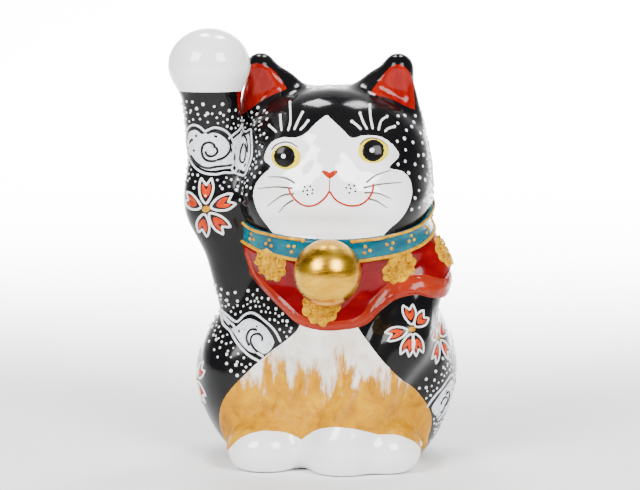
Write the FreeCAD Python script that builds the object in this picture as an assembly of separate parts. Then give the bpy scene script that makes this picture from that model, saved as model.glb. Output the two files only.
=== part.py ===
"""Beckoning cat figurine: a hollow porcelain cat that sits upright, right forepaw raised.

Frame: origin at the centre of the underside, +Z up, the face looks along -Y, +X is the cat's own
left.  Millimetres.  The cat is fused in the glaze firing, so nothing moves.  Each casting, each
moulded piece of dress and each coat of raised enamel is a node of its own.

The castings are rounded clay forms.  A form is a distance field: blended ellipsoids and round-ended
cones.  Level curves of the field are lofted into a solid, and a coat of enamel is the same form
grown by the coat's thickness, trimmed to its outline, less the casting under it.
"""
import FreeCAD, Part
import math
import os
import random

os.makedirs("parts", exist_ok=True)
V = FreeCAD.Vector

# ---- driving dimensions -------------------------------------------------------------------------
PAW_TOP = 197.0                   # underside to the top of the raised paw, the figurine's height
WALL = 4.5                        # porcelain wall of the castings
SLAB = 4.0                        # closing slab under the body
VENT_RADIUS = 7.0                 # vent hole in the slab, which lets the kiln gases out
VENT_BACK = 24.0                  # how far behind the middle of the underside it is
BREATHER_RADIUS = 3.0             # passage from the hollow arm into the body
NECK_RADIUS = 22.0                # passage between the body and the head
BAND_RELIEF = 1.2                 # how far the moulded collar stands off the neck
BIB_RELIEF = 1.0                  # how far the moulded bib stands off the chest
MEDALLION_RELIEF = 1.2            # how far the enamel medallions stand off the bib
COAT = 0.5                        # raised enamel
THIN_COAT = 0.3                   # flat enamel

BELL_RADIUS = 14.9
BELL_CENTRE = (0.5, -45.0, 90.8)
BELL_GAP = 22.0                   # break in the collar's piping above the bell
COLLAR_CENTRE = (0.0, -2.0, 111.0)
COLLAR_TILT = 17.0                # degrees, the collar hangs lower in front
COLLAR_WIDTH = 9.5
PIPING_RADIUS = 0.8

RAYS = 36                         # points round each level curve
CAP = 0.12                        # depth under a form's top where its last level curve lies


# ---- clay: distance fields ----------------------------------------------------------------------
def ellipsoid(centre, radii, lean=0.0):
    """An ellipsoid, leant about Y by some degrees."""
    cx, cy, cz = centre
    rx, ry, rz = radii
    c, s = math.cos(math.radians(lean)), math.sin(math.radians(lean))

    def field(x, y, z):
        dx, dy, dz = x - cx, y - cy, z - cz
        u, w = c * dx - s * dz, s * dx + c * dz
        near = math.sqrt((u / rx) ** 2 + (dy / ry) ** 2 + (w / rz) ** 2)
        slope = math.sqrt((u / rx ** 2) ** 2 + (dy / ry ** 2) ** 2 + (w / rz ** 2) ** 2)
        return near * (near - 1.0) / max(slope, 1e-9)
    return field


def cone(start, end, start_radius, end_radius):
    """A round-ended cone between two points."""
    ax, ay, az = start
    bx, by, bz = end[0] - ax, end[1] - ay, end[2] - az
    length2 = bx * bx + by * by + bz * bz

    def field(x, y, z):
        dx, dy, dz = x - ax, y - ay, z - az
        t = min(max((dx * bx + dy * by + dz * bz) / length2, 0.0), 1.0)
        gap = math.sqrt((dx - t * bx) ** 2 + (dy - t * by) ** 2 + (dz - t * bz) ** 2)
        return gap - start_radius - t * (end_radius - start_radius)
    return field


def blend(first, *others):
    """Joins forms with soft creases: others are (form, softness)."""
    def field(x, y, z):
        d = first(x, y, z)
        for form, soft in others:
            e = form(x, y, z)
            h = max(soft - abs(d - e), 0.0) / soft
            d = min(d, e) - h * h * soft / 4.0
        return d
    return field


def hollowed(form, dent, soft):
    """The form with a soft dent pressed into it."""
    def field(x, y, z):
        d, e = -form(x, y, z), dent(x, y, z)
        h = max(soft - abs(d - e), 0.0) / soft
        return -(min(d, e) - h * h * soft / 4.0)
    return field


def sides(make):
    return make(-1), make(1)


EAR_TIPS = {-1: -33.0, 1: 29.5}   # the ear beside the raised paw spreads wider


def ear_form(side):
    tip = EAR_TIPS[side]
    inner, outer, peak = (tip - side * 18, 3, 156), (tip + side * 2, 4, 155), (tip, 0, 178.5)
    web = blend(cone(inner, peak, 9, 5.5), (cone(outer, peak, 8.5, 5.5), 6),
                (ellipsoid((tip - side * 7, 3, 159), (14.5, 8, 19)), 5))
    return hollowed(web, ellipsoid((tip - side * 2, -10.5, 165), (9, 6, 13), side * 8), 3)


def head_form():
    parts = [(ellipsoid((1.5, -2, 121), (44, 38, 25.5)), 12)]
    parts += [(form, 7) for form in sides(lambda s: ellipsoid((s * 19.5, -27.5, 141), (8.5, 8, 8.5)))]
    parts += [(form, 8) for form in sides(lambda s: ellipsoid((s * 9, -33, 124), (13, 8.5, 9)))]
    parts += [(form, 10) for form in sides(lambda s: ellipsoid((s * 25, -19, 120), (14, 16, 13)))]
    parts += [(ellipsoid((0, -34, 134), (7, 6, 6)), 8)]
    return blend(ellipsoid((0.8, 0, 140.5), (43, 37, 30.2)), *parts)


BODY = blend(ellipsoid((-1, 3, 60), (43, 41, 58)),
             (ellipsoid((-1.8, 3, 15), (48.8, 43, 28)), 14),
             (ellipsoid((-38.5, 4, 40), (24.5, 32, 34), 6), 10),
             (ellipsoid((35, 4, 44), (21.3, 32, 34), -6), 10),
             (ellipsoid((1.5, 0, 100), (45, 39, 20.5)), 10))
HEAD = head_form()
EARS = {"right": ear_form(-1), "left": ear_form(1)}
PAW_MIDDLE = (-55, -14, PAW_TOP - 16.5)
RAISED_ARM = blend(cone((-51, -8, 118), (-54, -12, 160), 12.6, 13),
                   (cone((-39.5, -2, 74), (-51, -8, 118), 13.2, 12.6), 16),
                   (ellipsoid(PAW_MIDDLE, (18.5, 17.5, 16.5)), 9))
LOWERED_ARM = blend(cone((38.5, -6, 87), (31, -26, 58), 14.5, 12.5),
                    (cone((31, -26, 58), (8, -38, 16), 12.5, 13), 10),
                    (ellipsoid((6.5, -37, 9), (16.5, 15, 14)), 6))
FEET = {"right": ellipsoid((-28.5, -31, 9), (17, 16, 13)), "left": ellipsoid((25, -31, 9), (16.5, 16, 13))}
TAIL = blend(cone((9, 37, 13), (1, 42, 32), 11, 10), (cone((1, 42, 32), (-3, 43, 56), 10, 8.5), 8))


# ---- solids from clay ---------------------------------------------------------------------------
def reach(form, start, direction, grow=0.0):
    """The point where a ray coming in towards start from far off meets the grown form."""
    x, y, z = start
    dx, dy, dz = direction
    t = 90.0
    for _ in range(80):
        gap = form(x + t * dx, y + t * dy, z + t * dz) - grow
        t -= gap * 0.92
        if abs(gap) < 5e-4:
            break
    return V(x + t * dx, y + t * dy, z + t * dz)


def turned(angle, tilt=0.0):
    """A direction round the Z axis, in a plane tilted about X."""
    c, s = math.cos(angle), math.sin(angle)
    t = math.radians(tilt)
    return c, s * math.cos(t), s * math.sin(t)


def level_curve(form, centre, grow=0.0, tilt=0.0):
    points = [reach(form, centre, turned(2 * math.pi * i / RAYS, tilt), grow) for i in range(RAYS)]
    curve = Part.BSplineCurve()
    curve.interpolate(Points=points, PeriodicFlag=True, Parameters=[i / RAYS for i in range(RAYS + 1)])
    return Part.Wire([curve.toShape()])


def even(low, high, count):
    return [low + (high - low) * i / (count - 1) for i in range(count)]


def rounded(low, high, count, round_low=False):
    """Heights that crowd together near a domed top, and near a domed bottom too if asked."""
    if round_low:
        return [low + (high - low) * (1 - math.cos(math.pi * i / (count - 1))) / 2 for i in range(count)]
    return [low + (high - low) * math.sin(0.5 * math.pi * i / (count - 1)) for i in range(count)]


def loft(form, heights, axis, grow=0.0):
    """The form's solid through its level curves; axis(z) is a point inside each one."""
    wires = [level_curve(form, (*axis(z), z), grow) for z in heights]
    return Part.makeLoft(wires, True, False)


def top_of(form, x, y, middle, grow=0.0):
    return reach(form, (x, y, middle), (0, 0, 1), grow).z


def between(table):
    """A smooth-enough axis: straight between (z, x, y) stations."""
    def axis(z):
        for (z0, x0, y0), (z1, x1, y1) in zip(table, table[1:]):
            if z <= z1:
                break
        t = min(max((z - z0) / (z1 - z0), -0.5), 1.0)
        return x0 + t * (x1 - x0), y0 + t * (y1 - y0)
    return axis


def straight(x, y):
    return lambda z: (x, y)


def body(grow=0.0):
    top = top_of(BODY, -1, 2, 60, grow) - CAP
    return loft(BODY, even(0, 60, 9) + rounded(60, top, 11)[1:], straight(-1, 2), grow)


def head(grow=0.0):
    top = top_of(HEAD, 0, 0, 130, grow) - CAP
    bottom = 97.0 - grow + CAP
    return loft(HEAD, rounded(bottom, top, 21, True), straight(0, -1), grow)


def ear(side, grow=0.0):
    sign = -1 if side == "right" else 1
    tip = EAR_TIPS[sign]
    axis = between([(149, tip - sign * 8, 2), (179, tip, 0), (190, tip, 0)])
    top = top_of(EARS[side], *axis(184), 168, grow) - CAP
    return loft(EARS[side], even(149, 174, 8) + rounded(174, top, 6)[1:], axis, grow)


ARM_AXIS = between([(74, -39.5, -2), (118, -51, -8), (160, -54, -12), (180.5, -55, -14)])
PAW_SEAM = 169.0


def raised_arm(grow=0.0):
    return loft(RAISED_ARM, even(70, PAW_SEAM, 14), ARM_AXIS, grow)


def raised_paw(grow=0.0):
    top = top_of(RAISED_ARM, *PAW_MIDDLE, grow) - CAP
    return loft(RAISED_ARM, even(PAW_SEAM, PAW_MIDDLE[2], 6) + rounded(PAW_MIDDLE[2], top, 10)[1:], ARM_AXIS, grow)


LOWERED_AXIS = between([(0, 6.5, -37), (9, 6.5, -37), (20, 11, -36.5), (58, 31, -26), (86, 41, -6), (100, 41, -6)])


def lowered_arm(grow=0.0):
    top = top_of(LOWERED_ARM, 41, -6, 86, grow) - CAP
    return loft(LOWERED_ARM, even(0, 30, 8) + even(36, 80, 9) + rounded(84, top, 5), LOWERED_AXIS, grow)


def foot(side, grow=0.0):
    form = FEET[side]
    x = -28.5 if side == "right" else 25
    top = top_of(form, x, -31, 9, grow) - CAP
    return loft(form, rounded(0, top, 9), straight(x, -31), grow)


def tail():
    axis = between([(0, 9, 37), (13, 9, 37), (32, 1, 42), (56, -3, 43), (70, -3, 43)])
    top = top_of(TAIL, -3, 43, 56) - CAP
    return loft(TAIL, rounded(2 + CAP, top, 17, True), axis)


def less(solid, *others):
    for other in others:
        solid = solid.cut(other)
    return solid


def node(name, shape):
    largest = max(s.Volume for s in shape.Solids)
    solids = [s for s in shape.Solids if s.Volume > largest * 0.02]
    assert solids and all(s.isValid() for s in solids), name
    out = solids[0] if len(solids) == 1 else Part.makeCompound(solids)
    out.exportStep("parts/%s.step" % name)
    print("%-18s %3d solids %10.1f mm3" % (name, len(solids), sum(s.Volume for s in solids)))
    return out


# ---- outlines and coats --------------------------------------------------------------------------
def closed_curve(points):
    curve = Part.BSplineCurve()
    curve.interpolate(Points=points, PeriodicFlag=True)
    return Part.Face(Part.Wire([curve.toShape()]))


def front_stencil(points, near, far):
    """A prism along Y whose outline is a smooth closed curve through (x, z) points."""
    return closed_curve([V(x, near, z) for x, z in points]).extrude(V(0, far - near, 0))


def slope(form, p):
    """The unit outward normal of a form at a point."""
    e = 0.05
    n = V(form(p.x + e, p.y, p.z) - form(p.x - e, p.y, p.z),
          form(p.x, p.y + e, p.z) - form(p.x, p.y - e, p.z),
          form(p.x, p.y, p.z + e) - form(p.x, p.y, p.z - e))
    return n.normalize()


class Spot:
    """A place on a form, with its normal, its rightward direction and its upward direction."""
    def __init__(self, form, start, direction):
        length = math.sqrt(sum(c * c for c in direction))
        self.point = reach(form, start, [c / length for c in direction])
        self.out = slope(form, self.point)
        self.right = V(0, 0, 1).cross(self.out).normalize()
        self.up = self.out.cross(self.right)

    def at(self, u, v, lift=0.0):
        return self.point + self.right * u + self.up * v + self.out * lift

    def stencil(self, outline, depth):
        """A prism along the normal, through the surface, over a closed curve of (u, v) points."""
        face = closed_curve([self.at(u, v, -depth) for u, v in outline])
        return face.extrude(self.out * 2 * depth)

    def dome(self, radius, height, lift=0.0):
        """A cap of a ball with its flat base on the surface."""
        ball = (radius * radius + height * height) / (2 * height)
        middle = self.point + self.out * (height - ball + lift - 0.02)
        base = math.degrees(math.asin((ball - height) / ball))
        return Part.makeSphere(ball, middle, self.out, base, 90, 360)


def oval(centre, radii, lean=0.0, count=12):
    c, s = math.cos(math.radians(lean)), math.sin(math.radians(lean))
    ring = [(radii[0] * math.cos(2 * math.pi * i / count), radii[1] * math.sin(2 * math.pi * i / count))
            for i in range(count)]
    return [(centre[0] + c * u - s * v, centre[1] + s * u + c * v) for u, v in ring]


def petal(size, turn):
    """A petal with a notched tip, about its own middle; turn is how far it points from straight up."""
    half = [(0.0, -0.5), (0.27, -0.18), (0.39, 0.17), (0.22, 0.5), (0.0, 0.28)]
    outline = half + [(-u, v) for u, v in half[-2:0:-1]]
    c, s = math.cos(turn), math.sin(turn)
    return [(size * (c * u - s * v), size * (s * u + c * v)) for u, v in outline]


def cloud(radius, stretch, lobes=6):
    """A scalloped swirl of cloud."""
    count = lobes * 4
    turns = [2 * math.pi * i / count for i in range(count)]
    return [(stretch * radius * (1 + 0.1 * math.cos(lobes * t)) * math.cos(t),
             radius * (1 + 0.1 * math.cos(lobes * t)) * math.sin(t)) for t in turns]


def together(shapes):
    return Part.makeCompound(shapes)


# ---- castings -----------------------------------------------------------------------------------
body_outer, head_outer = body(), head()
arm_outer, paw_outer = raised_arm(), raised_paw()
lowered_outer = lowered_arm()
foot_outer = {side: foot(side) for side in FEET}
ear_outer = {side: ear(side) for side in EARS}

slab_box = Part.makeBox(200, 200, SLAB, V(-100, -100, 0))
neck = Part.makeCylinder(NECK_RADIUS, 60, V(0, 0, 75))
body_cavity = loft(BODY, even(SLAB, 60, 8) + rounded(60, top_of(BODY, -1, 2, 60, -WALL) - CAP, 9)[1:],
                   straight(-1, 2), -WALL)
head_cavity = loft(HEAD, rounded(102, top_of(HEAD, 0, 0, 130, -WALL) - CAP, 15, True), straight(0, -1), -WALL)
arm_cavity = loft(RAISED_ARM, even(96, PAW_SEAM - WALL, 11), ARM_AXIS, -WALL)
breather = Part.makeCylinder(BREATHER_RADIUS, 26, V(-44, -6, 99), V(30, 6, -12))
vent = Part.makeCylinder(VENT_RADIUS, SLAB, V(0, VENT_BACK, 0))

body_shell = less(body_outer, slab_box, body_cavity, neck, breather)
base_slab = body_outer.common(slab_box).cut(vent)
head_shell = less(head_outer, body_outer, head_cavity, neck)
arm_shell = less(arm_outer, head_outer, body_outer, arm_cavity, breather, ear_outer["right"])
paw = less(paw_outer, ear_outer["right"], head_outer)
lowered = less(lowered_outer, body_outer)
feet = {side: less(foot_outer[side], body_outer, lowered_outer) for side in FEET}
ears = {side: less(ear_outer[side], head_outer) for side in EARS}

# ---- moulded dress ------------------------------------------------------------------------------
bell_ball = Part.makeSphere(BELL_RADIUS, V(*BELL_CENTRE))


def collar_ring(offset, grow):
    """A level curve of neck and chest in the collar's tilted plane, moved along its axis."""
    t = math.radians(COLLAR_TILT)
    cx, cy, cz = COLLAR_CENTRE
    centre = (cx, cy - offset * math.sin(t), cz + offset * math.cos(t))
    return level_curve(NECKLINE, centre, grow, COLLAR_TILT)


NECKLINE = blend(HEAD, (BODY, 8))
half = COLLAR_WIDTH / 2
collar_body = Part.makeLoft([collar_ring(half * k, BAND_RELIEF) for k in (-1, -0.5, 0, 0.5, 1)], True, False)
collar = less(collar_body, body_outer, head_outer, arm_outer, lowered_outer, bell_ball)

BIB_OUTLINE = [(0, 120), (34, 121), (62, 112), (64, 92), (54, 76), (42, 78), (31, 77), (19, 68), (2, 64),
               (-14, 67), (-28, 79), (-38, 90), (-42, 102), (-42, 112), (-32, 120)]
bib_stencil = front_stencil(BIB_OUTLINE, -70, 12)
body_in_bib, lowered_in_bib = body(BIB_RELIEF), lowered_arm(BIB_RELIEF)
bib_clay = body_in_bib.fuse(lowered_in_bib).common(bib_stencil)
bib = less(bib_clay, body_outer, lowered_outer, arm_outer, head_outer, collar_body, bell_ball)
bell = less(bell_ball, body_outer, head_outer)

# ---- raised enamel ------------------------------------------------------------------------------
SKIN = {"body": body(COAT).cut(body_outer), "head": less(head(COAT), head_outer),
        "arm": less(raised_arm(COAT), arm_outer, head_outer, body_outer),
        "lowered": less(lowered_arm(COAT), lowered_outer, body_outer)}
FORM = {"body": BODY, "head": HEAD, "arm": RAISED_ARM, "lowered": LOWERED_ARM}


def spot(form, height, bearing, right=0.0):
    """A place at some height on a casting; bearing 0 faces the viewer, 90 the cat's own left.

    right moves it that many mm to the right round the casting, as seen from outside.
    """
    axis = {"body": straight(-1, 2), "head": straight(0, -1), "arm": ARM_AXIS, "lowered": LOWERED_AXIS}[form]
    b = math.radians(bearing)
    start = (*axis(height), height)
    place = Spot(FORM[form], start, (math.sin(b), -math.cos(b), 0))
    if right:
        b += right / (place.point - V(*start)).Length
        place = Spot(FORM[form], start, (math.sin(b), -math.cos(b), 0))
    return place


BELLY_OUTLINE = [(0, 67), (12, 67), (17, 60), (25, 51), (32, 43), (40, 34.5), (44, 27), (44, 17), (38, 6), (0, 4), (-42, 6),
                 (-50, 18), (-48, 29), (-41, 39), (-29, 50.5), (-17, 60.5), (-12, 66)]
belly_clay = SKIN["body"].fuse(SKIN["lowered"]).common(front_stencil(BELLY_OUTLINE, -70, 0))
belly = less(belly_clay, body_outer, lowered_outer, bib_clay, *foot_outer.values())

EAR_LINING = [(-1.5, 14.5), (5, 12), (12, 3.5), (3, -1), (-4, -5), (-8, -8), (-8.5, -1), (-7.5, 6), (-5, 12)]
linings = []
for side, sign in (("right", -1), ("left", 1)):
    hollow = Spot(EARS[side], (EAR_TIPS[sign], 2, 166), (0, -1, 0))
    patch = hollow.stencil([(-sign * u, v) for u, v in EAR_LINING], 8)
    linings += less(ear(side, THIN_COAT), ear_outer[side], head_outer).common(patch).Solids[:1]

EYES = [spot("head", 141.5, -28), spot("head", 143.5, 30)]
irises = [SKIN["head"].common(eye.stencil(oval((0, 0), (6.7, 5.8)), 3)) for eye in EYES]
pupils = [eye.dome(5.4, 1.0) for eye in EYES]
irises = [iris.cut(pupil) for iris, pupil in zip(irises, pupils)]
pupils = [less(pupil, head_outer) for pupil in pupils]
glints = [eye.dome(1.3, 0.3, 0.95).cut(pupil) for eye, pupil in zip(EYES, pupils)]

nose_spot = spot("head", 133.5, 0)
NOSE = [(0, -2.2), (2.6, 0.2), (3.2, 1.8), (1.6, 2.0), (0, 1.3), (-1.6, 2.0), (-3.2, 1.8), (-2.6, 0.2)]
nose = nose_spot.stencil(NOSE, 1.6).common(head(0.9)).cut(head_outer)


def bead(form, start, directions, radius):
    """A bead of enamel on a form, along the points where some rays meet it."""
    points = [reach(form, start, d) for d in directions]
    curve = Part.BSplineCurve()
    curve.interpolate(Points=points)
    path = Part.Wire([curve.toShape()])
    ring = Part.Wire([Part.Circle(points[0], curve.tangent(0)[0], radius).toShape()])
    return path.makePipeShell([ring], True, True)


HEAD_MIDDLE = (0, -1, 130)
FACE_TURN = 2.0                   # degrees, the painted face is a little off the head's middle


def head_ray(bearing, rise):
    b, r = math.radians(bearing + FACE_TURN), math.radians(rise)
    return math.sin(b) * math.cos(r), -math.cos(b) * math.cos(r), math.sin(r)


def drawn(lines, radius):
    """Beads on the head through (bearing, rise) points, each with its mirror image."""
    return [bead(HEAD, HEAD_MIDDLE, [head_ray(s * b, r) for b, r in line], radius) for line in lines for s in (-1, 1)]


def line_between(first, last):
    return [(first[0] + (last[0] - first[0]) * k / 3, first[1] + (last[1] - first[1]) * k / 3) for k in range(4)]


mouth = drawn([[(1, -5), (5, -10), (12, -13), (20, -11), (25, -4), (26, -1)]], 0.4)
lid_lines = drawn([[(22, 22), (26, 26), (32, 27), (38, 21)]], 0.25)
LASHES = [((24, 34), (18, 42)), ((28, 34), (28, 48)), ((33, 34), (40, 50)), ((38, 32), (49, 43)), ((43, 31), (54, 35))]
lashes = drawn([line_between(*lash) for lash in LASHES], 0.5)
whiskers = drawn([[(21, 0), (31, 3.5), (40, 5)], [(21, -3), (32, -2), (46, -2)], [(20, -6), (29, -7), (37, -12)],
                  [(21, -10), (27, -12), (33, -16)]], 0.3)
FRECKLES = [(12, -1.5), (14.5, -2), (10.5, -3.5), (12.5, -3.5), (15, -5), (11, -6)]
freckles = [Spot(HEAD, HEAD_MIDDLE, head_ray(s * b, r)).dome(0.55, 0.25) for b, r in FRECKLES for s in (-1, 1)]

# form, height, bearing and the length of a petal
BLOSSOMS = [("arm", 116.4, -20, 11.0), ("lowered", 65, 18, 9.5), ("body", 57.5, 75, 9.5), ("body", 36, -84, 10),
            ("body", 78, -150, 11), ("body", 58, 145, 11), ("head", 140, 170, 11)]
# form, height, bearing, height of the cloud's half and how many times as wide it is
CLOUDS = [("arm", 143, -3, 8.5, 1.3), ("body", 59, -48, 7.5, 1.4), ("body", 29, 76, 7.5, 1.3), ("head", 134, 104, 7.5, 1.15),
          ("body", 93, 168, 8.5, 1.4), ("body", 40, -122, 8, 1.4)]
BLOSSOM_OPENING = 3.0             # from the middle of a blossom to its petals
HEART_SIZE, LINE_SIZE = 0.66, 1.12
petals, outlines, hearts, clouds = [], [], [], []
for form, height, bearing, size in BLOSSOMS:
    away = BLOSSOM_OPENING + size / 2
    for k in range(5):
        turn = 2 * math.pi * k / 5
        place = spot(form, height + away * math.cos(turn), bearing, -away * math.sin(turn))
        inside = place.stencil(petal(size, turn), 3)
        petals += SKIN[form].common(place.stencil(petal(size * HEART_SIZE, turn), 3)).Solids
        outlines += SKIN[form].common(place.stencil(petal(size * LINE_SIZE, turn), 3)).cut(inside).Solids
    hearts.append(spot(form, height, bearing).dome(1.7, 0.9))
for form, height, bearing, size, stretch in CLOUDS:
    clouds += SKIN[form].common(spot(form, height, bearing).stencil(cloud(size, stretch), 8)).Solids

random.seed(7)
dots = []
for form, height, bearing, size, stretch in CLOUDS:
    for _ in range(26):
        turn, away = random.uniform(0, 2 * math.pi), random.uniform(1.25, 1.9) * size
        place = spot(form, height + away * math.sin(turn), bearing, away * math.cos(turn) * stretch)
        if place.point.z > 6:
            dots.append(place.dome(random.uniform(0.55, 0.8), 0.45))

CHEST = blend(BODY, (LOWERED_ARM, 4))
MEDALLIONS = [(-26.5, 92.5, -28, 8.2), (-3, 74.6, -3, 8.3), (30, 91, 25, 8.2), (47, 96, 70, 7.6)]
medallion_coat = BIB_RELIEF + MEDALLION_RELIEF
medallion_clay = body(medallion_coat).fuse(lowered_arm(medallion_coat))
medallions = []
for x, height, bearing, size in MEDALLIONS:
    b = math.radians(bearing)
    place = Spot(CHEST, (x - 12 * math.sin(b), 0, height), (math.sin(b), -math.cos(b), 0))
    clay = place.stencil(cloud(size, 1.0, 8), 5.0).common(medallion_clay)
    medallions.append(less(clay, body_in_bib, lowered_in_bib, bell_ball, head_outer, collar_body))

piping_break = Part.makeBox(BELL_GAP, 60, 60, V(-BELL_GAP / 2, -80, 70))
piping = []
for edge in (-half + PIPING_RADIUS, half - PIPING_RADIUS):
    ring = collar_ring(edge, BAND_RELIEF + PIPING_RADIUS)
    circle = Part.Circle(ring.Edges[0].valueAt(0), ring.Edges[0].tangentAt(0), PIPING_RADIUS)
    tube = ring.makePipeShell([Part.Wire([circle.toShape()])], True, False)
    piping.append(less(tube, arm_outer, lowered_outer, bell_ball, piping_break))

collar_dots = []
t = math.radians(COLLAR_TILT)
NECK_ROUND = 38.0                 # mean radius of the collar
for bearing in range(-150, 180, 16):
    for across, along in ((1.3, -1.0), (1.0, 1.6), (-1.2, 0.2)):
        b = math.radians(bearing) + along / NECK_ROUND
        direction = (math.sin(b), -math.cos(b) * math.cos(t), -math.cos(b) * math.sin(t))
        x, y, z = COLLAR_CENTRE
        start = (x, y - across * math.sin(t), z + across * math.cos(t))
        place = Spot(lambda x, y, z: NECKLINE(x, y, z) - BAND_RELIEF, start, direction)
        dot = place.dome(0.6, 0.4)
        if dot.common(together([arm_outer, lowered_outer, bell_ball])).Volume < 1e-6:
            collar_dots.append(dot)

for name, shape in (("body_casting", body_shell), ("base_slab", base_slab), ("head_casting", head_shell),
                    ("raised_arm", arm_shell), ("raised_paw", paw), ("lowered_arm", lowered),
                    ("right_foot", feet["right"]), ("left_foot", feet["left"]),
                    ("right_ear", ears["right"]), ("left_ear", ears["left"]),
                    ("tail", less(tail(), body_outer)), ("collar", collar), ("bib", bib), ("bell", bell),
                    ("belly_relief", belly), ("ear_linings", together(linings)),
                    ("eye_irises", together(irises)), ("eye_pupils", together(pupils)),
                    ("eye_glints", together(glints)), ("lid_lines", together(lid_lines)), ("nose", nose),
                    ("mouth_line", together(mouth)), ("whiskers", together(whiskers)),
                    ("muzzle_dots", together(freckles)), ("eyelashes", together(lashes)),
                    ("blossom_petals", together(petals)),
                    ("blossom_outlines", together(outlines)), ("blossom_hearts", together(hearts)),
                    ("cloud_scrolls", together(clouds)), ("white_dots", together(dots)),
                    ("bib_medallions", together(medallions)), ("collar_piping", together(piping)),
                    ("collar_dots", together(collar_dots))):
    node(name, shape)
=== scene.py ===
import math

import bpy
import numpy as np
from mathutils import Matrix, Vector
from mathutils.geometry import delaunay_2d_cdt
from mathutils.kdtree import KDTree


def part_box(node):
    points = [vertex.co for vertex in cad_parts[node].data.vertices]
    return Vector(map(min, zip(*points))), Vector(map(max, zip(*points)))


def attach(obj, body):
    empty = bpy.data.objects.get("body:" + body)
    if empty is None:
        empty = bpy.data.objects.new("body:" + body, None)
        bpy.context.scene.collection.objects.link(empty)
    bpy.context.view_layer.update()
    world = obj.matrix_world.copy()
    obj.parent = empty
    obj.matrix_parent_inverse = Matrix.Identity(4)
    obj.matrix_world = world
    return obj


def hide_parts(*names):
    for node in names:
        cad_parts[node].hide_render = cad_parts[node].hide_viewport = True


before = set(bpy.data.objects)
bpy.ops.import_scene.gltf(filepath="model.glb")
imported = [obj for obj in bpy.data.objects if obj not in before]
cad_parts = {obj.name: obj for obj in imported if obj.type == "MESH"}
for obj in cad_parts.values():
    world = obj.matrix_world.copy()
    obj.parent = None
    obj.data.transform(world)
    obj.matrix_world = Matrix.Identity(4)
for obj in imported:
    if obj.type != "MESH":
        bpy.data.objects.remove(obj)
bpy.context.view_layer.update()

MM = 0.001                        # everything below is worked out in millimetres
BELL_LOW, BELL_HIGH = (np.array(corner, float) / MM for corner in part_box("bell"))
BELL_RADIUS = (BELL_HIGH - BELL_LOW)[0] / 2
# the CAD bell is cut away where it sits in the chest, so its middle is found from its front
BELL_CENTRE = np.array([(BELL_LOW + BELL_HIGH)[0] / 2, BELL_LOW[1] + BELL_RADIUS, BELL_HIGH[2] - BELL_RADIUS])


# ---- clay: the figurine's form as a distance field, negative inside ------------------------------
def length(q):
    return np.sqrt(np.einsum("ij,ij->i", q, q))


def cos_sin(degrees):
    return math.cos(math.radians(degrees)), math.sin(math.radians(degrees))


def angles(count):
    """Evenly spaced angles round a circle."""
    return np.arange(count) * 2 * math.pi / count


def ellipsoid(p, centre, radii, lean=0.0):
    """Distance to an ellipsoid leant about Y by some degrees."""
    q = p - np.array(centre, float)
    if lean:
        c, s = cos_sin(lean)
        q = np.stack([c * q[:, 0] - s * q[:, 2], q[:, 1], s * q[:, 0] + c * q[:, 2]], 1)
    q = q / np.array(radii, float)
    near = length(q)
    return near * (near - 1.0) / np.maximum(length(q / np.array(radii, float)), 1e-9)


def cone(p, start, end, start_radius, end_radius):
    """Distance to a round-ended cone."""
    a = np.array(start, float)
    along = np.array(end, float) - a
    t = np.clip((p - a) @ along / (along @ along), 0.0, 1.0)
    return length(p - a - t[:, None] * along) - start_radius - t * (end_radius - start_radius)


def join(a, b, soft):
    """Union with a soft crease."""
    h = np.maximum(soft - np.abs(a - b), 0.0) / soft
    return np.minimum(a, b) - h * h * soft / 4.0


def common(a, b, soft):
    """Intersection with a soft edge."""
    return -join(-a, -b, soft)


def joined(d, *others):
    """Soft union of distances; others are (distance, softness)."""
    for other, soft in others:
        d = join(d, other, soft)
    return d


EAR_TIPS = {-1: -33.0, 1: 29.5}   # the ear beside the raised paw spreads wider


def ear(p, side):
    tip = EAR_TIPS[side]
    inner, outer, peak = (tip - side * 18, 3, 156), (tip + side * 2, 4, 155), (tip, 0, 178.5)
    web = joined(cone(p, inner, peak, 9, 5.5), (cone(p, outer, peak, 8.5, 5.5), 6),
                 (ellipsoid(p, (tip - side * 7, 3, 159), (14.5, 8, 19)), 5))
    return common(web, -ellipsoid(p, (tip - side * 2, -10.5, 165), (9, 6, 13), side * 8), 3)


def skull(p):
    d = join(ellipsoid(p, (0.8, 0, 140.5), (43, 37, 30.2)), ellipsoid(p, (1.5, -2, 121), (44, 38, 25.5)), 12)
    brow, muzzle = ((19.5, -27.5, 141), (8.5, 8, 8.5), 7), ((9, -33, 124), (13, 8.5, 9), 8)
    cheek = ((25, -19, 120), (14, 16, 13), 10)
    for (x, y, z), radii, soft in (brow, muzzle, cheek):
        for side in (-1, 1):
            d = join(d, ellipsoid(p, (side * x, y, z), radii), soft)
    return join(d, ellipsoid(p, (0, -34, 134), (7, 6, 6)), 8)


def trunk(p):
    return joined(ellipsoid(p, (-1, 3, 60), (43, 41, 58)),
                  (ellipsoid(p, (-1.8, 3, 15), (48.8, 43, 28)), 14),
                  (ellipsoid(p, (-38.5, 4, 40), (24.5, 32, 34), 6), 10),
                  (ellipsoid(p, (35, 4, 44), (21.3, 32, 34), -6), 10),
                  (ellipsoid(p, (1.5, 0, 100), (45, 39, 20.5)), 10))


def raised_arm(p):
    arm = join(cone(p, (-51, -8, 118), (-54, -12, 160), 12.6, 13),
               cone(p, (-39.5, -2, 74), (-51, -8, 118), 13.2, 12.6), 16)
    return join(arm, ellipsoid(p, (-55, -14, 180.5), (18.5, 17.5, 16.5)), 9)


def lowered_arm(p):
    return joined(cone(p, (38.5, -6, 87), (31, -26, 58), 14.5, 12.5),
                  (cone(p, (31, -26, 58), (8, -38, 16), 12.5, 13), 10),
                  (ellipsoid(p, (6.5, -37, 9), (16.5, 15, 14)), 6))


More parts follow.
